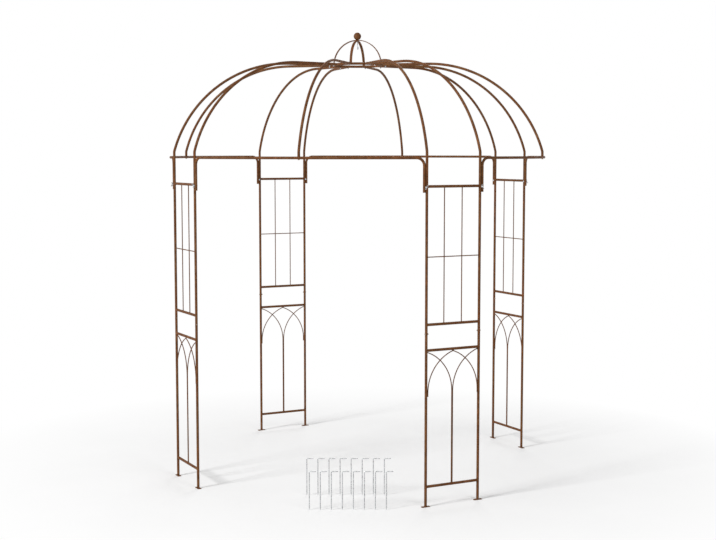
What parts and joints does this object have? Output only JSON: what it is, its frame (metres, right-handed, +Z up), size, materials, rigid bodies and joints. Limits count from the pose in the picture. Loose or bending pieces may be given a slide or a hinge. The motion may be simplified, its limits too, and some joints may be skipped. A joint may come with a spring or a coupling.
{
  "type": "rose pavilion",
  "caption": "Open round garden pavilion of painted steel tube: narrow climbing panels with pointed arches, rounded passages between them, a domed roof of bent ribs and a ball on top",
  "frame": {"origin": "on the ground, in the middle of the plan", "axes": "+Z up; the climbing panels stand on the +X, +Y, -X and -Y sides, the passages lie on the diagonals"},
  "size_m": [2.4166, 2.4166, 2.805],
  "materials": {
    "painted_steel": "matt rust-brown paint with worn edges",
    "zinc": "dull zinc plating",
    "aged_screws": "rust-tinted steel"
  },
  "bodies": {
    "root": {"lower_posts_right": "painted_steel", "lower_posts_back": "painted_steel", "lower_posts_left": "painted_steel", "lower_posts_front": "painted_steel", "foot_plates_right": "painted_steel", "foot_plates_back": "painted_steel", "foot_plates_left": "painted_steel", "foot_plates_front": "painted_steel", "lower_rails_right": "painted_steel", "lower_rails_back": "painted_steel", "lower_rails_left": "painted_steel", "lower_rails_front": "painted_steel", "arch_rods_right": "painted_steel", "arch_rods_back": "painted_steel", "arch_rods_left": "painted_steel", "arch_rods_front": "painted_steel", "upper_posts_right": "painted_steel", "upper_posts_back": "painted_steel", "upper_posts_left": "painted_steel", "upper_posts_front": "painted_steel", "upper_rails_right": "painted_steel", "upper_rails_back": "painted_steel", "upper_rails_left": "painted_steel", "upper_rails_front": "painted_steel", "grid_rods_right": "painted_steel", "grid_rods_back": "painted_steel", "grid_rods_left": "painted_steel", "grid_rods_front": "painted_steel", "ring_arch_back_right": "painted_steel", "ring_arch_back_left": "painted_steel", "ring_arch_front_left": "painted_steel", "ring_arch_front_right": "painted_steel", "post_rib_right_1": "painted_steel", "post_rib_right_2": "painted_steel", "post_rib_back_1": "painted_steel", "post_rib_back_2": "painted_steel", "post_rib_left_1": "painted_steel", "post_rib_left_2": "painted_steel", "post_rib_front_1": "painted_steel", "post_rib_front_2": "painted_steel", "mid_rib_back_right": "painted_steel", "mid_rib_back_left": "painted_steel", "mid_rib_front_left": "painted_steel", "mid_rib_front_right": "painted_steel", "hub_ring": "painted_steel", "crown_hoop_lower": "painted_steel", "crown_hoop_upper": "painted_steel", "finial_ball": "painted_steel", "hanging_hook": "zinc", "hook_nut": "zinc", "clamp_bolts": "zinc", "wing_nuts": "zinc", "joint_screws": "aged_screws", "joint_nuts": "aged_screws", "rib_foot_bolts": "aged_screws", "rib_foot_plugs": "zinc", "hub_screws": "zinc", "hub_nuts": "zinc", "ground_pegs": "zinc"}
  },
  "joints": []
}
